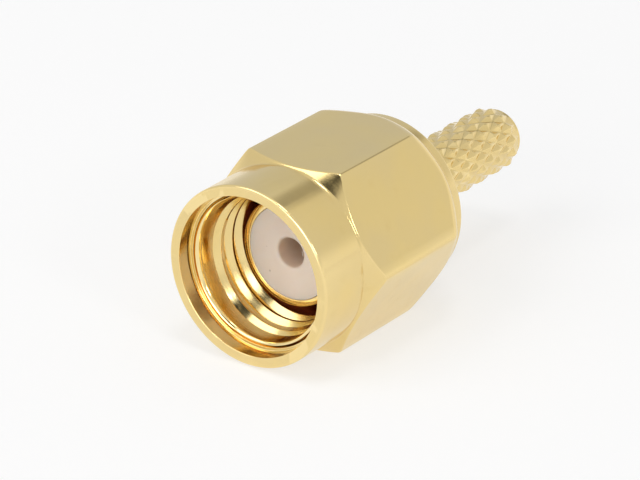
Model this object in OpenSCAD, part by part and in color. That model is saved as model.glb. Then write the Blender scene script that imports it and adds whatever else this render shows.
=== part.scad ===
// Straight SMA plug for crimping onto thin coaxial cable, with a free-turning hexagon coupling nut.
// The plug's axis lies along Y: the mouth opens towards -Y and the crimp stem points towards +Y.
// The origin is on the axis, in the reference plane where the outer conductors of a mated pair meet.
// The plug lies on one flat of its nut, with +Z up. All lengths are in millimetres.

/* [Coupling nut] */
// Width of the hexagon across its flats
nut_af = 8; // [7.9:0.05:8.6]
// Length of the nut from its front rim to the end of its rear collar
nut_length = 9.9; // [9.4:0.1:11.5]
// Depth of the reference plane behind the front rim
mouth_depth = 2.92; // [2.8:0.02:3.2]
// Depth that the front collar is turned below the flats, on each side
front_collar_step = 0.08; // [0.05:0.01:0.2]
// Length of the front collar from the rim to the cone that trims the hexagon's corners
front_collar_length = 2.63; // [1.5:0.01:3.5]
// Slope of the front corner cone, as an angle from the axis
front_corner_angle = 48.5; // [35:0.5:60]
// Depth that the rear collar is turned below the flats, on each side
rear_collar_step = 0.28; // [0.1:0.01:0.4]
// Length of the rear collar
rear_collar_length = 0.5; // [0.3:0.05:1]
// Slope of the rear corner cone, as an angle from the axis
rear_corner_angle = 38.5; // [30:0.5:50]
// Radius of the rounded outer edge of the front rim
rim_radius = 0.14; // [0.05:0.01:0.2]
// Diameter of the smooth bore just inside the rim
mouth_d = 6.94; // [6.7:0.02:7.1]
// Depth of the smooth bore inside the rim
mouth_bore_depth = 0.57; // [0.3:0.01:0.8]
// Minor diameter of the 1/4-36 thread, bored plain
thread_minor_d = 5.7; // [5.6:0.01:5.8]
// Major diameter of the 1/4-36 thread, where its lead-in cone starts
thread_major_d = 6.35; // [6.3:0.01:6.4]
// Distance that the threaded bore stops in front of the reference plane
thread_stop = 0.05; // [0.02:0.01:0.3]
// Radial clearance of the bore behind the thread round the body's flange
relief_gap = 0.14; // [0.1:0.01:0.2]

/* [Connector body] */
// Outside diameter of the outer conductor's tube
conductor_od = 4.58; // [4.5:0.01:4.6]
// Wall of the outer conductor's tube, which the insulator fills
conductor_wall = 0.24; // [0.18:0.01:0.3]
// Free length of the outer conductor in front of the gasket
conductor_reach = 1.86; // [1.6:0.02:2.1]
// Height of the flange above the barrel, where the nut pulls against it
flange_step = 0.56; // [0.4:0.01:0.6]
// Thickness of the flange
flange_thickness = 0.7; // [0.5:0.05:1]
// Wall of the barrel that turns inside the nut
barrel_wall = 0.51; // [0.45:0.01:0.6]
// Height of the inner step that the insulator stops against
insulator_step = 0.29; // [0.2:0.01:0.4]
// Length of the barrel that stands out behind the nut
barrel_reach = 0.85; // [0.4:0.05:1.1]
// Chamfer on the barrel's rear edge
barrel_chamfer = 0.15; // [0.05:0.01:0.25]

/* [Retaining ring] */
// Thickness of the split ring along the axis
ring_thickness = 0.5; // [0.4:0.05:0.6]
// Radial width of the split ring
ring_width = 0.55; // [0.45:0.01:0.6]
// Width of the slot that splits the ring
ring_slot = 0.9; // [0.5:0.1:1.5]
// Depth of the ring's groove in the barrel
barrel_groove_depth = 0.24; // [0.18:0.01:0.28]
// Distance of the ring's groove behind the nut's shoulder
ring_land = 0.88; // [0.5:0.02:1.2]

/* [Gasket] */
// Thickness of the sealing gasket in front of the flange
gasket_thickness = 0.72; // [0.5:0.02:0.9]
// Distance that the gasket stays inside the flange's edge
gasket_margin = 0.02; // [0.02:0.01:0.2]

/* [Insulator] */
// Bore for the centre contact, which is supplied loose
contact_bore_d = 1.27; // [1:0.01:1.3]

/* [Crimp stem] */
// Length of the stem behind the body
stem_length = 7.4; // [5:0.1:10]
// Bore of the stem for the cable's dielectric
stem_bore_d = 1.7; // [1.6:0.02:1.9]
// Wall of the stem at the bottom of the knurl
stem_wall = 0.44; // [0.35:0.01:0.5]
// Depth of the knurl
knurl_depth = 0.17; // [0.1:0.01:0.22]
// Number of knurl ridges cut in each direction
knurl_starts = 14; // [10:1:18]
// Slope of the knurl ridges, as an angle from the axis
knurl_angle = 28; // [20:1:40]
// Length of the smooth neck between the body and the knurl
neck_length = 0.3; // [0.1:0.05:0.6]
// Chamfer at the free end of the stem
stem_chamfer = 0.28; // [0.1:0.02:0.4]
// Length of the bushing that fixes the stem in the body
bushing_length = 1.2; // [0.8:0.05:1.6]

/* [Fits] */
// Radial clearance between the turning nut and the barrel
turning_gap = 0.06; // [0.03:0.01:0.09]
// Side clearance of the ring in its grooves and of the nut's shoulder behind the flange
end_gap = 0.06; // [0.04:0.01:0.1]
// Radial clearance of pieces that are pressed or bonded together
seat_gap = 0.01; // [0.005:0.005:0.02]

/* [Hidden] */

gold = [0.84, 0.73, 0.45];
spring_bronze = [0.76, 0.56, 0.30];
white_ptfe = [0.90, 0.86, 0.83];
silicone_red = [0.45, 0.10, 0.06];

smooth = 96;
rim_steps = 4;
edge_break = 0.08;
past = 1;

// Places along the axis, counted from the reference plane
rim_y = -mouth_depth;
thread_start_y = rim_y + mouth_bore_depth;
thread_end_y = -thread_stop;
gasket_y = conductor_reach;
flange_y = gasket_y + gasket_thickness;
flange_rear_y = flange_y + flange_thickness;
shoulder_y = flange_rear_y + end_gap;
ring_y = shoulder_y + ring_land;
nut_end_y = rim_y + nut_length;
body_end_y = nut_end_y + barrel_reach;
bushing_y = body_end_y - bushing_length;
stem_end_y = body_end_y + stem_length;

// Radii of the body, from its outer conductor outwards
conductor_r = conductor_od / 2;
conductor_bore_r = conductor_r - conductor_wall;
barrel_r = conductor_bore_r + barrel_wall;
flange_r = barrel_r + flange_step;
barrel_groove_r = barrel_r - barrel_groove_depth;
bushing_hole_r = conductor_bore_r - insulator_step;

// Radii of what fits into the body and round it
insulator_r = conductor_bore_r - seat_gap;
bushing_r = bushing_hole_r - seat_gap;
ring_inner_r = barrel_groove_r + seat_gap;
ring_outer_r = ring_inner_r + ring_width;
nut_bore_r = barrel_r + turning_gap;
nut_groove_r = ring_outer_r + turning_gap;
relief_r = flange_r + relief_gap;
corner_r = nut_af / 2 / cos(30);

// The knurl: how many rows of half pyramids fill its length, and how far apart they are
knurl_root_r = stem_bore_d / 2 + stem_wall;
knurl_point_r = knurl_root_r + knurl_depth;
neck_r = knurl_root_r - edge_break;
knurl_y = body_end_y + neck_length;
knurl_length = stem_end_y - knurl_y;
knurl_spots = 2 * knurl_starts;
knurl_rows = max(2, round(knurl_length * knurl_starts * tan(knurl_angle) / (PI * knurl_point_r)));
knurl_row_step = knurl_length / knurl_rows;

// Points of a quarter circle in a profile of [radius, place along the axis]
function quarter(centre_r, centre_y, radius, from, steps) =
    [for (i = [0 : steps]) [
        centre_r + radius * cos(from + 90 * i / steps),
        centre_y + radius * sin(from + 90 * i / steps)]];

// Turns a profile of [radius, place along the axis] round the Y axis
module turned(profile) {
    rotate([-90, 0, 0]) rotate_extrude($fn = smooth) polygon(profile);
}

// A round or sided rod along Y that starts at the given place
module rod(radius, from, length, sides = smooth) {
    translate([0, from, 0]) rotate([-90, 0, 0]) cylinder(r = radius, h = length, $fn = sides);
}

// The outline that the nut is turned to before its flats are milled
module nut_blank() {
    front_r = nut_af / 2 - front_collar_step;
    rear_r = nut_af / 2 - rear_collar_step;
    outer_r = corner_r + edge_break;
    front_cone_y = rim_y + front_collar_length;
    rear_cone_y = nut_end_y - rear_collar_length;
    turned(concat(
        [[0, rim_y]],
        quarter(front_r - rim_radius, rim_y + rim_radius, rim_radius, -90, rim_steps),
        [
            [front_r, front_cone_y],
            [outer_r, front_cone_y + (outer_r - front_r) / tan(front_corner_angle)],
            [outer_r, rear_cone_y - (outer_r - rear_r) / tan(rear_corner_angle)],
            [rear_r, rear_cone_y],
            [rear_r, nut_end_y - edge_break],
            [rear_r - edge_break, nut_end_y],
            [0, nut_end_y]
        ]));
}

// Everything that is bored out of the nut, with the ring's groove
module nut_bore() {
    mouth_r = mouth_d / 2;
    thread_r = thread_minor_d / 2;
    lead_in_r = thread_major_d / 2;
    turned([
        [0, rim_y - past],
        [mouth_r + edge_break + past, rim_y - past],
        [mouth_r, rim_y + edge_break],
        [mouth_r, thread_start_y],
        [lead_in_r, thread_start_y],
        [thread_r, thread_start_y + lead_in_r - thread_r],
        [thread_r, thread_end_y],
        [relief_r, thread_end_y + relief_r - thread_r],
        [relief_r, shoulder_y],
        [nut_bore_r, shoulder_y],
        [nut_bore_r, ring_y - end_gap],
        [nut_groove_r, ring_y - end_gap],
        [nut_groove_r, ring_y + ring_thickness + end_gap],
        [nut_bore_r, ring_y + ring_thickness + end_gap],
        [nut_bore_r, nut_end_y - edge_break],
        [nut_bore_r + edge_break + past, nut_end_y + past],
        [0, nut_end_y + past]
    ]);
}

module coupling_nut() {
    color(gold) difference() {
        intersection() {
            rod(corner_r, rim_y, nut_length, 6);
            nut_blank();
        }
        nut_bore();
    }
}

module connector_body() {
    color(gold) turned([
        [conductor_bore_r, 0],
        [conductor_r - edge_break / 2, 0],
        [conductor_r, edge_break / 2],
        [conductor_r, flange_y],
        [flange_r, flange_y],
        [flange_r, flange_rear_y],
        [barrel_r, flange_rear_y],
        [barrel_r, ring_y - end_gap],
        [barrel_groove_r, ring_y - end_gap],
        [barrel_groove_r, ring_y + ring_thickness + end_gap],
        [barrel_r, ring_y + ring_thickness + end_gap],
        [barrel_r, body_end_y - barrel_chamfer],
        [barrel_r - barrel_chamfer, body_end_y],
        [bushing_hole_r, body_end_y],
        [bushing_hole_r, bushing_y],
        [conductor_bore_r, bushing_y]
    ]);
}

// A flat split ring that sits half in the barrel's groove and half in the nut's
module retaining_ring() {
    color(spring_bronze) difference() {
        rod(ring_outer_r, ring_y, ring_thickness);
        rod(ring_inner_r, ring_y - past, ring_thickness + 2 * past);
        translate([-ring_slot / 2, ring_y - past, 0])
            cube([ring_slot, ring_thickness + 2 * past, ring_outer_r + past]);
    }
}

module gasket() {
    color(silicone_red) difference() {
        rod(flange_r - gasket_margin, gasket_y, gasket_thickness);
        rod(conductor_r + seat_gap, gasket_y - past, gasket_thickness + 2 * past);
    }
}

module insulator() {
    color(white_ptfe) difference() {
        rod(insulator_r, 0, bushing_y);
        rod(contact_bore_d / 2, -past, bushing_y + 2 * past);
    }
}

// A corner of the knurled surface: grooves cross at even spots, and pyramids peak at odd ones
function knurl_point(row, spot) =
    let (
        angle = 180 * spot / knurl_starts,
        peak = (row + spot) % 2 == 1,
        radius = row == knurl_rows ? knurl_point_r - stem_chamfer
            : peak && row > 0 ? knurl_point_r : knurl_root_r
    )
    [radius * sin(angle), knurl_y + row * knurl_row_step, radius * cos(angle)];

// Two triangles between neighbouring rows, parted along the groove
function knurl_patch(row, spot) =
    let (
        next = (spot + 1) % knurl_spots,
        near = row * knurl_spots + spot,
        near_next = row * knurl_spots + next,
        far = near + knurl_spots,
        far_next = near_next + knurl_spots
    )
    (row + spot) % 2 == 0
        ? [[near, far, far_next], [near, far_next, near_next]]
        : [[near, far, near_next], [far, far_next, near_next]];

// The diamond knurl: rings of corners, each joined to the next by four-sided pyramids
module knurl() {
    rows = [0 : knurl_rows];
    spots = [0 : knurl_spots - 1];
    front = (knurl_rows + 1) * knurl_spots;
    last_ring = knurl_rows * knurl_spots;
    polyhedron(
        points = concat(
            [for (row = rows, spot = spots) knurl_point(row, spot)],
            [[0, knurl_y, 0], [0, stem_end_y, 0]]),
        faces = concat(
            [for (row = [0 : knurl_rows - 1], spot = spots, part = [0, 1]) knurl_patch(row, spot)[part]],
            [for (spot = spots) [front, spot, (spot + 1) % knurl_spots]],
            [for (spot = spots) [front + 1, last_ring + (spot + 1) % knurl_spots, last_ring + spot]]),
        convexity = 4);
}

module crimp_stem() {
    bore_r = stem_bore_d / 2;
    color(gold) difference() {
        union() {
            rod(bushing_r, bushing_y, bushing_length);
            rod(neck_r, body_end_y - past, neck_length + 2 * past);
            knurl();
        }
        rod(bore_r, bushing_y - past, stem_end_y - bushing_y + 2 * past);
        turned([
            [0, stem_end_y - edge_break],
            [bore_r, stem_end_y - edge_break],
            [bore_r + edge_break + past, stem_end_y + past],
            [0, stem_end_y + past]
        ]);
    }
}

coupling_nut();
connector_body();
retaining_ring();
gasket();
insulator();
crimp_stem();
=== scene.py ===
"""Looks of the straight SMA plug: gold nut, body and knurled stem, white insulator, red gasket."""

import math
import random

import bmesh
import bpy
from mathutils import Matrix, Vector


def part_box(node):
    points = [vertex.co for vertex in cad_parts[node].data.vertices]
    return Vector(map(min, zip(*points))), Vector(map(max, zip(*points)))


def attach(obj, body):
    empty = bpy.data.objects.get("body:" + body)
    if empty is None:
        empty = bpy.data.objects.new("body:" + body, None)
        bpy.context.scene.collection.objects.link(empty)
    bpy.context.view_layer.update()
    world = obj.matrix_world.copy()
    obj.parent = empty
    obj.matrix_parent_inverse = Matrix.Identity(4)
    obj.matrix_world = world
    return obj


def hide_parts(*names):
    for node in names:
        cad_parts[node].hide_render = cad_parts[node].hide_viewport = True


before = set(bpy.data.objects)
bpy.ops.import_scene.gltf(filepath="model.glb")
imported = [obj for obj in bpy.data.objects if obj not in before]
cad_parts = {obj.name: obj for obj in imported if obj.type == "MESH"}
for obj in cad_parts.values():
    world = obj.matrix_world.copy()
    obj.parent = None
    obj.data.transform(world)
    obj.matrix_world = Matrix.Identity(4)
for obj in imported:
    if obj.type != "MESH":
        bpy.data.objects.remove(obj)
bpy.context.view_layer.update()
rng = random.Random(36)

MM = 0.001
TURN = 2 * math.pi

# Sizes in millimetres that the frame's boxes don't give. Places along the axis are counted from the
# reference plane, and come from the boxes of the CAD nodes.

# The nut outside
COLLAR_R = 3.92
FRONT_COLLAR_LENGTH = 2.63
REAR_COLLAR_R = 3.72
REAR_COLLAR_LENGTH = 0.50
FRONT_CONE = math.radians(48.5)
REAR_CONE = math.radians(38.5)
HEX_CORNER_ROUNDING = 0.34

# The nut inside. The first crest is counted from the rim.
MOUTH_R = 3.45
MOUTH_DEPTH = 0.77
THREAD_PITCH = 0.7056
THREAD_MINOR_R = 2.85
THREAD_MAJOR_R = 3.19
THREAD_STARTS_AT = math.radians(-90)
FIRST_CREST = 0.74
CREST_HALF = 0.06
RIDGE_BASE_HALF = 0.335
LEAD_IN_R = 3.32
LEAD_IN_SLOPE = 0.33
THREAD_END = 0.72
RELIEF_R = 3.26
NUT_GROOVE_R = 2.95

# The body, the gasket and the insulator
CONDUCTOR_R = 2.33
CONDUCTOR_BORE_R = 2.05
BARREL_R = 2.56
BARREL_GROOVE_R = 2.32
BUSHING_HOLE_R = 1.76
CONTACT_BORE_R = 0.635
FLANGE_THICKNESS = 0.70
GASKET_MARGIN = 0.02

# The crimp stem
STEM_BORE_R = 0.85
KNURL_ROOT_R = 1.29
KNURL_POINT_R = 1.46
KNURL_STARTS = 14
KNURL_ROWS = 12
NECK_LENGTH = 0.30
STEM_CHAMFER = 0.28
KNURL_END_GAP = 0.12

# Fits: round the barrel, beside the ring and behind the flange, and between pressed pieces
TURNING_GAP = 0.06
END_GAP = 0.06
SEAT_GAP = 0.01
NUT_BORE_R = BARREL_R + TURNING_GAP


def span(node):
    """Where a CAD node begins and ends along the axis, in millimetres."""
    low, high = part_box(node)
    return low.y / MM, high.y / MM


RIM_Y, NUT_END_Y = span("coupling_nut")
GASKET_Y, FLANGE_Y = span("gasket")
BODY_END_Y = span("connector_body")[1]
RING_Y, RING_END_Y = span("retaining_ring")
BUSHING_Y, STEM_END_Y = span("crimp_stem")
FLAT_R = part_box("coupling_nut")[1].z / MM
FLANGE_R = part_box("connector_body")[1].z / MM
GROOVE_Y, GROOVE_END_Y = RING_Y - END_GAP, RING_END_Y + END_GAP


# ---------------------------------------------------------------- shapes

def rounded(corners, steps=4):
    """A closed profile of (radius, place, rounding) corners, each rounded one as a short curve."""
    out = []
    for i, (r, y, rounding) in enumerate(corners):
        here = Vector((r, y))
        before = Vector(corners[i - 1][:2]) - here
        after = Vector(corners[(i + 1) % len(corners)][:2]) - here
        if not rounding:
            out.append(here)
            continue
        half = before.angle(after) / 2
        reach = min(rounding / max(math.tan(half), 0.05),
                    0.45 * before.length, 0.45 * after.length)
        a = here + before.normalized() * reach
        b = here + after.normalized() * reach
        for k in range(steps + 1):
            t = k / steps
            out.append(a * (1 - t) ** 2 + here * (2 * t * (1 - t)) + b * t ** 2)
    return out


def mesh_object(name, verts, faces):
    """A smooth-shaded mesh object from points in millimetres."""
    mesh = bpy.data.meshes.new(name)
    mesh.from_pydata([Vector(v) * MM for v in verts], [], faces)
    bm = bmesh.new()
    bm.from_mesh(mesh)
    bmesh.ops.remove_doubles(bm, verts=bm.verts, dist=2e-7)
    bmesh.ops.recalc_face_normals(bm, faces=bm.faces)
    bm.to_mesh(mesh)
    bm.free()
    mesh.polygons.foreach_set("use_smooth", [True] * len(mesh.polygons))
    obj = bpy.data.objects.new(name, mesh)
    bpy.context.scene.collection.objects.link(obj)
    return obj


def weigh_normals(obj):
    """Keeps large flat faces flat in shading, so that only the rounded edges bend the light."""
    mod = obj.modifiers.new("weighted_normals", "WEIGHTED_NORMAL")
    mod.weight = 90


def loft(profiles, angles):
    """Points and faces of a ring whose cross-section changes with the angle round the Y axis."""
    count = len(profiles[0])
    verts = [(p.x * math.sin(a), p.y, p.x * math.cos(a))
             for profile, a in zip(profiles, angles) for p in profile]
    faces = []
    for i in range(len(angles)):
        j = (i + 1) % len(angles)
        for k in range(count):
            m = (k + 1) % count
            faces.append((i * count + k, i * count + m, j * count + m, j * count + k))
    return verts, faces


def turned(name, corners, steps=3, columns=160):
    """A turned ring with a rounded profile."""
    profile = rounded(corners, steps)
    angles = [TURN * i / columns for i in range(columns)]
    obj = mesh_object(name, *loft([profile] * columns, angles))
    weigh_normals(obj)
    return obj


def merged(parts):
    """Points and faces of several shapes as one."""
    verts, faces = [], []
    for v, f in parts:
        base = len(verts)
        verts += v
        faces += [tuple(i + base for i in face) for face in f]
    return verts, faces


def flat_distance(angle):
    """Distance from the axis to the hexagon's outline, with slightly rounded corners."""
    from_flat = (angle + TURN / 12) % (TURN / 6) - TURN / 12
    along = FLAT_R * math.tan(abs(from_flat))
    half_flat = FLAT_R * math.tan(TURN / 12)
    start = half_flat - HEX_CORNER_ROUNDING * math.tan(TURN / 12)
    if along <= start:
        return FLAT_R / math.cos(from_flat)
    centre = Vector((start, FLAT_R - HEX_CORNER_ROUNDING))
    ray = Vector((math.sin(abs(from_flat)), math.cos(from_flat)))
    middle = centre.dot(ray)
    return middle + math.sqrt(middle ** 2 - centre.length_squared + HEX_CORNER_ROUNDING ** 2)


def nut_profile(angle):
    """The nut's cross-section at one angle: turned collars and cones, cut by the flats."""
    hexagon = flat_distance(angle)
    thread_start = RIM_Y + MOUTH_DEPTH
    front_cone = RIM_Y + FRONT_COLLAR_LENGTH
    rear_cone = NUT_END_Y - REAR_COLLAR_LENGTH
    shoulder = FLANGE_Y + FLANGE_THICKNESS + END_GAP
    return rounded([
        (THREAD_MAJOR_R, thread_start + (LEAD_IN_R - THREAD_MAJOR_R) / LEAD_IN_SLOPE, 0),
        (LEAD_IN_R, thread_start, 0.02),
        (MOUTH_R, thread_start, 0.04),
        (MOUTH_R, RIM_Y, 0.04),
        (COLLAR_R, RIM_Y, 0.13),
        (COLLAR_R, front_cone, 0.24),
        (hexagon, front_cone + (hexagon - COLLAR_R) / math.tan(FRONT_CONE), 0.14),
        (hexagon, rear_cone - (hexagon - REAR_COLLAR_R) / math.tan(REAR_CONE), 0.9),
        (REAR_COLLAR_R, rear_cone, 0.12),
        (REAR_COLLAR_R, NUT_END_Y, 0.12),
        (NUT_BORE_R, NUT_END_Y, 0.08),
        (NUT_BORE_R, GROOVE_END_Y, 0),
        (NUT_GROOVE_R, GROOVE_END_Y, 0),
        (NUT_GROOVE_R, GROOVE_Y, 0),
        (NUT_BORE_R, GROOVE_Y, 0),
        (NUT_BORE_R, shoulder, 0),
        (RELIEF_R, shoulder, 0),
        (RELIEF_R, THREAD_END + 0.1, 0),
        (THREAD_MAJOR_R, THREAD_END, 0),
    ])


def nut_angles():
    """Even steps round the nut, with closer ones at the hexagon's corners."""
    near_corner = [math.radians(a) for a in (29.2, 29.5, 29.75, 30, 30.25, 30.5, 30.8)]
    even = [math.radians(a) for a in range(-27, 29, 3)]
    return [TURN * k / 6 + a for k in range(6) for a in even + near_corner]


def thread_ridge():
    """One right-hand ridge of the coupling thread. The lead-in cone cuts down its first turns, and
    its ends run out against the mouth's step and the relief groove."""
    steps_per_turn, flank_steps, crest_steps = 144, 5, 6
    crest_rounding = 0.035
    first_crest = RIM_Y + FIRST_CREST
    # the ridge's base is sunk a little into the bore, and its start stays clear of the mouth's step
    base_r = THREAD_MAJOR_R + 0.02
    start_y = RIM_Y + MOUTH_DEPTH + 0.003
    height = base_r - THREAD_MINOR_R
    turns_before = (first_crest + RIDGE_BASE_HALF - start_y) / THREAD_PITCH
    turns_after = (THREAD_END + RIDGE_BASE_HALF - first_crest) / THREAD_PITCH
    total = int((turns_before + turns_after) * steps_per_turn)
    verts, faces = [], []
    for i in range(total + 1):
        turns = i / steps_per_turn - turns_before
        angle = THREAD_STARTS_AT + TURN * turns
        middle = first_crest + THREAD_PITCH * turns
        # the crest is as high as the lead-in cone leaves it, and as wide as the flanks are there
        cone_r = LEAD_IN_R - LEAD_IN_SLOPE * (middle - RIM_Y - MOUTH_DEPTH)
        crest_r = min(max(THREAD_MINOR_R, cone_r), base_r - 0.004)
        half = CREST_HALF + (RIDGE_BASE_HALF - CREST_HALF) * (crest_r - THREAD_MINOR_R) / height
        lean = LEAD_IN_SLOPE * half if crest_r > THREAD_MINOR_R else 0
        section = rounded([
            (base_r, -RIDGE_BASE_HALF, 0),
            (min(crest_r + lean, base_r - 0.002), -half, crest_rounding),
            (crest_r - lean, half, crest_rounding),
            (base_r, RIDGE_BASE_HALF, 0),
        ], crest_steps)
        front = [section[0].lerp(section[1], k / flank_steps) for k in range(flank_steps)]
        rear = [section[-2].lerp(section[-1], k / flank_steps) for k in range(1, flank_steps + 1)]
        section = front + section[1:-1] + rear
        count = len(section)
        for p in section:
            y = min(max(middle + p.y, start_y), THREAD_END)
            verts.append((p.x * math.sin(angle), y, p.x * math.cos(angle)))
        if i:
            near, far = (i - 1) * count, i * count
            faces += [(near + k, near + k + 1, far + k + 1, far + k)
                      for k in range(count - 1)]
    return verts, faces


def coupling_nut():
    """The hexagon nut with its collars, cones and bores, and the thread inside it."""
    angles = nut_angles()
    shell = loft([nut_profile(a) for a in angles], angles)
    obj = mesh_object("nut_detail", *merged([shell, thread_ridge()]))
    weigh_normals(obj)
    return obj


def connector_body():
    """The outer conductor's tube, the flange, and the barrel with the ring's groove."""
    return turned("body_detail", [
        (CONDUCTOR_BORE_R, 0, 0.03),
        (CONDUCTOR_R, 0, 0.06),
        (CONDUCTOR_R, FLANGE_Y, 0),
        (FLANGE_R, FLANGE_Y, 0.04),
        (FLANGE_R, FLANGE_Y + FLANGE_THICKNESS, 0.04),
        (BARREL_R, FLANGE_Y + FLANGE_THICKNESS, 0),
        (BARREL_R, GROOVE_Y, 0),
        (BARREL_GROOVE_R, GROOVE_Y, 0),
        (BARREL_GROOVE_R, GROOVE_END_Y, 0),
        (BARREL_R, GROOVE_END_Y, 0),
        (BARREL_R, BODY_END_Y, 0.17),
        (BUSHING_HOLE_R, BODY_END_Y, 0.03),
        (BUSHING_HOLE_R, BUSHING_Y, 0),
        (CONDUCTOR_BORE_R, BUSHING_Y, 0),
    ])


def gasket():
    """The soft ring in front of the flange."""
    return turned("gasket_detail", [
        (CONDUCTOR_R + SEAT_GAP, GASKET_Y, 0.08),
        (FLANGE_R - GASKET_MARGIN, GASKET_Y, 0.16),
        (FLANGE_R - GASKET_MARGIN, FLANGE_Y, 0.1),
        (CONDUCTOR_R + SEAT_GAP, FLANGE_Y, 0),
    ], steps=5)


def insulator():
    """The PTFE rod that fills the tube, with a softly broken edge round the contact's bore."""
    return turned("insulator_detail", [
        (CONTACT_BORE_R, 0, 0.14),
        (CONDUCTOR_BORE_R - SEAT_GAP, 0, 0.03),
        (CONDUCTOR_BORE_R - SEAT_GAP, BUSHING_Y, 0),
        (CONTACT_BORE_R, BUSHING_Y, 0.05),
    ])


def bore_burr():
    """The small curl of PTFE left where the drill broke the bore's edge."""
    verts, faces = [], []
    steps, sides = 14, 6
    for i in range(steps + 1):
        t = i / steps
        angle = math.radians(66 + 22 * t)
        swell = math.sin(math.pi * t) ** 0.6
        lift = 0.045 * swell * (1 + 0.3 * math.sin(9 * t))
        for k in range(sides):
            turn = TURN * k / sides
            r = CONTACT_BORE_R + 0.02 + 0.022 * swell * math.cos(turn)
            y = -lift * (0.4 + 0.6 * math.sin(turn))
            verts.append((r * math.sin(angle), y, r * math.cos(angle)))
        if i:
            near, far = (i - 1) * sides, i * sides
            faces += [(near + k, near + (k + 1) % sides, far + (k + 1) % sides, far + k)
                      for k in range(sides)]
    faces += [tuple(range(sides)), tuple(range(steps * sides, (steps + 1) * sides))]
    return mesh_object("bore_burr", verts, faces)


def knurl_surface():
    """Diamond pyramids with worn, uneven points between two sets of crossing grooves."""
    spots = 2 * KNURL_STARTS
    start = BODY_END_Y + NECK_LENGTH
    # the worn edges run a little past the last row, so it stops short of the end face
    row_step = (STEM_END_Y - KNURL_END_GAP - start) / KNURL_ROWS
    verts, faces = [], []
    # the flattened point's half width, its most shift, and its most loss of height
    worn_half, most_shift, most_wear, most_tilt = 0.26, 0.07, 0.035, 0.02

    def add(radius, row, spot):
        angle = TURN * spot / spots
        verts.append((radius * math.sin(angle), start + row * row_step, radius * math.cos(angle)))
        return len(verts) - 1

    def root_radius(row):
        return KNURL_POINT_R - STEM_CHAMFER if row >= KNURL_ROWS else KNURL_ROOT_R

    roots = {(row, spot): add(root_radius(row), row, spot)
             for row in range(KNURL_ROWS + 1) for spot in range(spots) if (row + spot) % 2 == 0}
    ends = {}
    for row in (0, KNURL_ROWS):
        for spot in range(spots):
            if (row + spot) % 2:
                ends[row, spot] = add(root_radius(row), row, spot)
    for row in range(KNURL_ROWS + 1):
        for spot in range(spots):
            if (row + spot) % 2 == 0:
                continue
            left, right = roots[row, (spot - 1) % spots], roots[row, (spot + 1) % spots]
            if row in (0, KNURL_ROWS):
                inner = row + 1 if row == 0 else row - 1
                peak = roots[inner, spot]
                faces += [(left, ends[row, spot], peak), (ends[row, spot], right, peak)]
                continue
            near, far = roots[row - 1, spot], roots[row + 1, spot]
            point_r = KNURL_POINT_R - rng.uniform(0, most_wear)
            off_row = rng.uniform(-most_shift, most_shift)
            off_spot = rng.uniform(-most_shift, most_shift)
            top = [add(point_r - rng.uniform(0, most_tilt),
                       row + off_row + a * worn_half, spot + off_spot + b * worn_half)
                   for a, b in ((0, -1), (1, 0), (0, 1), (-1, 0))]
            rim = [left, far, right, near]
            faces.append(tuple(top))
            faces += [(rim[k], rim[(k + 1) % 4], top[(k + 1) % 4], top[k]) for k in range(4)]
    return verts, faces, start


def crimp_stem():
    """The stem as two pieces: a turned core with its bushing, and the knurl round it."""
    verts, faces, start = knurl_surface()
    spots = 2 * KNURL_STARTS
    columns = 4 * spots
    neck_r = KNURL_ROOT_R - 0.08
    # the core stays inside the knurl, and comes out to it again at the end face
    core_r = KNURL_ROOT_R - 0.12
    end_r = KNURL_POINT_R - STEM_CHAMFER + 0.004
    rest = loft(
        [rounded([
            (STEM_BORE_R, BUSHING_Y, 0),
            (BUSHING_HOLE_R - SEAT_GAP, BUSHING_Y, 0),
            (BUSHING_HOLE_R - SEAT_GAP, BODY_END_Y, 0.03),
            (neck_r, BODY_END_Y, 0.05),
            (neck_r, start + 0.05, 0),
            (core_r, start + 0.3, 0),
            (core_r, STEM_END_Y - 2 * KNURL_END_GAP, 0),
            (end_r, STEM_END_Y - KNURL_END_GAP, 0),
            (end_r, STEM_END_Y, 0.03),
            (STEM_BORE_R, STEM_END_Y, 0.09),
        ])] * columns,
        [TURN * i / columns for i in range(columns)])
    # the ring that closes the knurl against the neck
    base = len(verts)
    for i in range(spots):
        angle = TURN * i / spots
        for r in (KNURL_ROOT_R, neck_r - 0.02):
            verts.append((r * math.sin(angle), start, r * math.cos(angle)))
    for i in range(spots):
        j = (i + 1) % spots
        faces.append((base + 2 * i, base + 2 * i + 1, base + 2 * j + 1, base + 2 * j))
    knurl = mesh_object("knurl_detail", verts, faces)
    bevel = knurl.modifiers.new("worn_edges", "BEVEL")
    bevel.width = 0.045 * MM
    bevel.segments = 3
    bevel.limit_method = "ANGLE"
    bevel.angle_limit = math.radians(10)
    core = mesh_object("stem_detail", *rest)
    weigh_normals(core)
    return core, knurl


# ---------------------------------------------------------------- materials

def new_material(name):
    mat = bpy.data.materials.new(name)
    mat.use_nodes = True
    tree = mat.node_tree
    return mat, tree.nodes, tree.links, tree.nodes["Principled BSDF"]


def noise(nodes, links, vector, scale, detail=3.0, roughness=0.5):
    node = nodes.new("ShaderNodeTexNoise")
    node.inputs["Scale"].default_value = scale
    node.inputs["Detail"].default_value = detail
    node.inputs["Roughness"].default_value = roughness
    links.new(vector, node.inputs["Vector"])
    return node.outputs["Fac"]


def ranged(nodes, links, value, low, high, to_low, to_high):
    node = nodes.new("ShaderNodeMapRange")
    for key, number in (("From Min", low), ("From Max", high),
                        ("To Min", to_low), ("To Max", to_high)):
        node.inputs[key].default_value = number
    links.new(value, node.inputs["Value"])
    return node.outputs["Result"]


def added(nodes, links, a, b, operation="ADD"):
    node = nodes.new("ShaderNodeMath")
    node.operation = operation
    links.new(a, node.inputs[0])
    links.new(b, node.inputs[1])
    return node.outputs[0]


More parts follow.
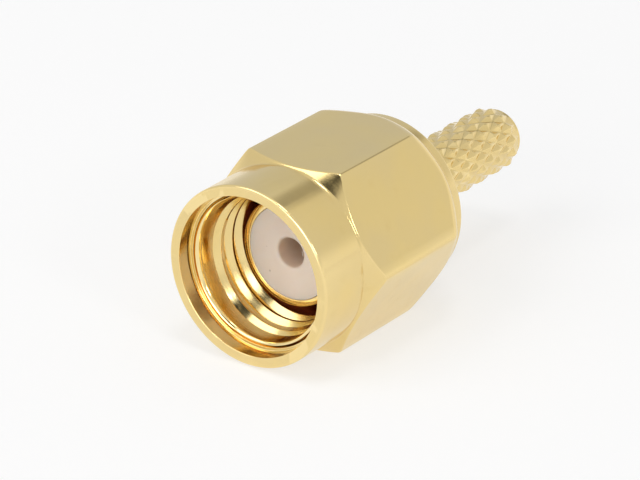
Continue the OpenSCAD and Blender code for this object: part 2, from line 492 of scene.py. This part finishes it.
def stretched(nodes, links, vector, scale):
    node = nodes.new("ShaderNodeMapping")
    node.inputs["Scale"].default_value = scale
    links.new(vector, node.inputs["Vector"])
    return node.outputs["Vector"]


def mixed(nodes, links, factor, first, second):
    node = nodes.new("ShaderNodeMix")
    node.data_type = "RGBA"
    links.new(factor, node.inputs[0])
    for socket, colour in ((node.inputs[6], first), (node.inputs[7], second)):
        if isinstance(colour, bpy.types.NodeSocket):
            links.new(colour, socket)
        else:
            socket.default_value = (*colour, 1)
    return node.outputs[2]


def gold_plate(name, roughness=0.15, tool_marks=0.05):
    """Gold over nickel on machined brass: colour drift, faint tool rings, polished edges with a
    painted highlight, pits.
    """
    mat, nodes, links, shader = new_material(name)
    place = nodes.new("ShaderNodeTexCoord").outputs["Object"]
    drift = noise(nodes, links, place, 420, 3)
    stain = noise(nodes, links, place, 1500, 4, 0.65)
    colour = mixed(nodes, links, ranged(nodes, links, drift, 0.35, 0.65, 0, 1),
                   (0.85, 0.65, 0.275), (0.82, 0.635, 0.295))
    colour = mixed(nodes, links, ranged(nodes, links, stain, 0.58, 0.78, 0, 0.35),
                   colour, (0.76, 0.55, 0.21))
    # painted highlight: convex edges get a paler, brighter gold; only their lower roughness below
    # is real polish
    edge = nodes.new("ShaderNodeNewGeometry").outputs["Pointiness"]
    edge = ranged(nodes, links, edge, 0.505, 0.56, 0, 1)
    colour = mixed(nodes, links, edge, colour, (0.93, 0.74, 0.36))
    links.new(colour, shader.inputs["Base Color"])
    shader.inputs["Metallic"].default_value = 1
    rings = noise(nodes, links, stretched(nodes, links, place, (120, 26000, 120)), 1, 2)
    grain = noise(nodes, links, place, 30000, 3, 0.6)
    rough = ranged(nodes, links, stain, 0.3, 0.7, roughness - 0.04, roughness + 0.06)
    rough = added(nodes, links, rough, ranged(nodes, links, edge, 0, 1, 0, 0.08), "SUBTRACT")
    links.new(rough, shader.inputs["Roughness"])
    height = added(nodes, links, rings, ranged(nodes, links, grain, 0, 1, 0, 0.5))
    bump = nodes.new("ShaderNodeBump")
    bump.inputs["Strength"].default_value = tool_marks
    bump.inputs["Distance"].default_value = 0.00002
    links.new(height, bump.inputs["Height"])
    links.new(bump.outputs["Normal"], shader.inputs["Normal"])
    return mat


def ptfe():
    """Waxy white PTFE: translucent, with faint knife rings, warm clouds, a few dark specks and
    painted shade down the contact's bore.
    """
    mat, nodes, links, shader = new_material("ptfe_white")
    place = nodes.new("ShaderNodeTexCoord").outputs["Object"]
    cloud = noise(nodes, links, place, 700, 3)
    colour = mixed(nodes, links, ranged(nodes, links, cloud, 0.35, 0.65, 0, 1),
                   (0.86, 0.77, 0.71), (0.83, 0.73, 0.66))
    # painted shade and warm reflected light: deeper in the bore the colour turns warm and dim
    depth = nodes.new("ShaderNodeSeparateXYZ")
    links.new(place, depth.inputs[0])
    inside = ranged(nodes, links, depth.outputs["Y"], 0.00005, 0.0012, 0, 1)
    colour = mixed(nodes, links, inside, colour, (0.70, 0.52, 0.39))
    specks = nodes.new("ShaderNodeTexVoronoi")
    specks.inputs["Scale"].default_value = 1500
    links.new(place, specks.inputs["Vector"])
    spot = ranged(nodes, links, specks.outputs["Distance"], 0.05, 0.09, 0.6, 0)
    colour = mixed(nodes, links, spot, colour, (0.45, 0.38, 0.32))
    links.new(colour, shader.inputs["Base Color"])
    shader.inputs["Subsurface Weight"].default_value = 0.6
    shader.inputs["Subsurface Radius"].default_value = (0.9, 0.7, 0.55)
    shader.inputs["Subsurface Scale"].default_value = 0.0005
    rings = noise(nodes, links, stretched(nodes, links, place, (9000, 200, 9000)), 1, 3)
    links.new(ranged(nodes, links, rings, 0.3, 0.7, 0.38, 0.5), shader.inputs["Roughness"])
    bump = nodes.new("ShaderNodeBump")
    bump.inputs["Strength"].default_value = 0.12
    bump.inputs["Distance"].default_value = 0.00001
    links.new(rings, bump.inputs["Height"])
    links.new(bump.outputs["Normal"], shader.inputs["Normal"])
    return mat


def silicone():
    """Matte red-brown silicone rubber with moulding bloom."""
    mat, nodes, links, shader = new_material("silicone_red")
    place = nodes.new("ShaderNodeTexCoord").outputs["Object"]
    bloom = noise(nodes, links, place, 3500, 4)
    colour = mixed(nodes, links, ranged(nodes, links, bloom, 0.35, 0.7, 0, 1),
                   (0.20, 0.025, 0.012), (0.28, 0.05, 0.025))
    links.new(colour, shader.inputs["Base Color"])
    links.new(ranged(nodes, links, bloom, 0.3, 0.7, 0.45, 0.65), shader.inputs["Roughness"])
    bump = nodes.new("ShaderNodeBump")
    bump.inputs["Strength"].default_value = 0.3
    bump.inputs["Distance"].default_value = 0.00002
    links.new(bloom, bump.inputs["Height"])
    links.new(bump.outputs["Normal"], shader.inputs["Normal"])
    return mat


def bronze():
    """Plain spring bronze, brushed round the ring."""
    mat, nodes, links, shader = new_material("spring_bronze")
    place = nodes.new("ShaderNodeTexCoord").outputs["Object"]
    brushed = noise(nodes, links, stretched(nodes, links, place, (300, 20000, 300)), 1, 3)
    colour = mixed(nodes, links, ranged(nodes, links, brushed, 0.3, 0.7, 0, 1),
                   (0.62, 0.38, 0.17), (0.55, 0.31, 0.13))
    links.new(colour, shader.inputs["Base Color"])
    shader.inputs["Metallic"].default_value = 1
    links.new(ranged(nodes, links, brushed, 0.3, 0.7, 0.28, 0.42), shader.inputs["Roughness"])
    return mat


def dress(obj, material):
    """Gives an object one material in place of any it has."""
    obj.data.materials.clear()
    obj.data.materials.append(material)


def place_piece(obj, body, material, node=None):
    """Rides a piece on its body, gives it its material, and lets it stand for its CAD node."""
    dress(obj, material)
    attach(obj, body)
    if node:
        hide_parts(node)


gold_nut = gold_plate("gold_nut")
gold_body = gold_plate("gold_body")
gold_stem = gold_plate("gold_stem", roughness=0.17, tool_marks=0.03)
white = ptfe()

place_piece(coupling_nut(), "nut", gold_nut, "coupling_nut")
place_piece(connector_body(), "plug", gold_body, "connector_body")
place_piece(gasket(), "plug", silicone(), "gasket")
place_piece(insulator(), "plug", white, "insulator")
place_piece(bore_burr(), "plug", white)
stem_core, stem_knurl = crimp_stem()
place_piece(stem_core, "plug", gold_stem, "crimp_stem")
place_piece(stem_knurl, "plug", gold_stem)
dress(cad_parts["retaining_ring"], bronze())


# ---------------------------------------------------------------- studio

LAMP_DISTANCE = 0.5


def unseen_by_light(nodes, links):
    """1 for rays that see the white background: from the camera, in gloss or through glass."""
    path = nodes.new("ShaderNodeLightPath")
    total = added(nodes, links, path.outputs["Is Camera Ray"], path.outputs["Is Glossy Ray"],
                  "MAXIMUM")
    return added(nodes, links, total, path.outputs["Is Transmission Ray"], "MAXIMUM")


def toward(nodes, links, direction, vector, full, none):
    """1 for directions near the given one, falling to 0 between two cosines."""
    dot = nodes.new("ShaderNodeVectorMath")
    dot.operation = "DOT_PRODUCT"
    dot.inputs[1].default_value = Vector(direction).normalized()
    links.new(vector, dot.inputs[0])
    node = nodes.new("ShaderNodeMapRange")
    node.interpolation_type = "SMOOTHSTEP"
    node.inputs["From Min"].default_value = none
    node.inputs["From Max"].default_value = full
    links.new(dot.outputs["Value"], node.inputs["Value"])
    return node.outputs["Result"]


def studio_world():
    """A white tent, a little darker overhead, with the dark opening that a camera looks through."""
    world = bpy.data.worlds.new("tent")
    world.use_nodes = True
    bpy.context.scene.world = world
    nodes, links = world.node_tree.nodes, world.node_tree.links
    background = nodes["Background"]
    direction = nodes.new("ShaderNodeTexCoord").outputs["Generated"]
    height = nodes.new("ShaderNodeSeparateXYZ")
    links.new(direction, height.inputs[0])
    colour = mixed(nodes, links, ranged(nodes, links, height.outputs["Z"], 0.10, 0.26, 0, 1),
                   (1, 1, 1), (0.79, 0.79, 0.79))
    # a cool panel behind, the gap above it, and the camera's opening: each with its two cosines
    for centre, full, none, shade in (((-0.53, 0.74, 0.41), 0.985, 0.80, (0.66, 0.68, 0.72)),
                                      ((-0.03, 0.74, 0.67), 0.997, 0.975, (0.42, 0.42, 0.42)),
                                      ((0.10, -0.71, 0.70), 0.990, 0.970, (0.04, 0.04, 0.04))):
        patch = toward(nodes, links, centre, direction, full, none)
        colour = mixed(nodes, links, patch, colour, shade)
    links.new(colour, background.inputs["Color"])
    strength = ranged(nodes, links, unseen_by_light(nodes, links), 0, 1, 0.6, 1)
    links.new(strength, background.inputs["Strength"])


def studio_floor():
    """A pale floor that looks white and keeps the object's soft shadow."""
    size, level = 4.0, -FLAT_R * MM
    mesh = bpy.data.meshes.new("floor")
    corners = ((-1, -1), (1, -1), (1, 1), (-1, 1))
    mesh.from_pydata([(size * x, size * y, level) for x, y in corners], [], [(0, 1, 2, 3)])
    floor = bpy.data.objects.new("floor", mesh)
    bpy.context.scene.collection.objects.link(floor)
    mat, nodes, links, shader = new_material("floor_paper")
    shader.inputs["Base Color"].default_value = (0.42, 0.42, 0.42, 1)
    shader.inputs["Roughness"].default_value = 0.9
    glow = nodes.new("ShaderNodeEmission")
    seen = unseen_by_light(nodes, links)
    links.new(ranged(nodes, links, seen, 0, 1, 0, 0.60), glow.inputs["Strength"])
    both = nodes.new("ShaderNodeAddShader")
    links.new(shader.outputs[0], both.inputs[0])
    links.new(glow.outputs[0], both.inputs[1])
    links.new(both.outputs[0], nodes["Material Output"].inputs["Surface"])
    floor.data.materials.append(mat)


def soft_lamp(name, direction, size, power):
    """A square soft lamp, half a metre away, that faces the object from the given direction."""
    data = bpy.data.lights.new(name, "AREA")
    data.energy = power
    data.size = size
    lamp = bpy.data.objects.new(name, data)
    bpy.context.scene.collection.objects.link(lamp)
    away = Vector(direction).normalized()
    lamp.location = away * LAMP_DISTANCE
    lamp.rotation_mode = "QUATERNION"
    lamp.rotation_quaternion = (-away).to_track_quat("-Z", "Y")


def studio_camera():
    """The camera stands high in front of the mouth and to its right, as in a catalogue picture."""
    azimuth, elevation, lean = (math.radians(a) for a in (35.73, 24.55, 0.21))
    distance = 160 * MM
    right = Vector((math.cos(azimuth), math.sin(azimuth), 0))
    back = Vector((math.sin(azimuth) * math.cos(elevation),
                   -math.cos(azimuth) * math.cos(elevation), math.sin(elevation)))
    up = back.cross(right)
    right, up = (right * math.cos(lean) + up * math.sin(lean),
                 up * math.cos(lean) - right * math.sin(lean))
    rim_centre = Vector((0, RIM_Y * MM, 0))
    aim = rim_centre + right * (2.92 * MM) + up * (1.51 * MM)
    data = bpy.data.cameras.new("camera")
    data.sensor_width = 36
    data.lens = 224.6
    data.clip_start, data.clip_end = 0.01, 20
    camera = bpy.data.objects.new("camera", data)
    bpy.context.scene.collection.objects.link(camera)
    camera.location = aim + back * distance
    camera.rotation_mode = "QUATERNION"
    camera.rotation_quaternion = Matrix((right, up, back)).transposed().to_quaternion()
    bpy.context.scene.camera = camera


studio_world()
studio_floor()
soft_lamp("front_left_box", (-0.38, -0.60, 0.72), 0.30, 0.50)
soft_lamp("front_box", (0.12, -0.95, 0.27), 0.30, 0.85)
soft_lamp("top_lamp", (0.15, -0.10, 1.0), 0.12, 0.30)
soft_lamp("right_lamp", (1.0, -0.30, 0.55), 0.10, 0.22)
studio_camera()
bpy.context.scene.view_settings.view_transform = "Standard"
# light goes to and fro between the thread's flanks more often than the default allows for
bpy.context.scene.cycles.glossy_bounces = 10
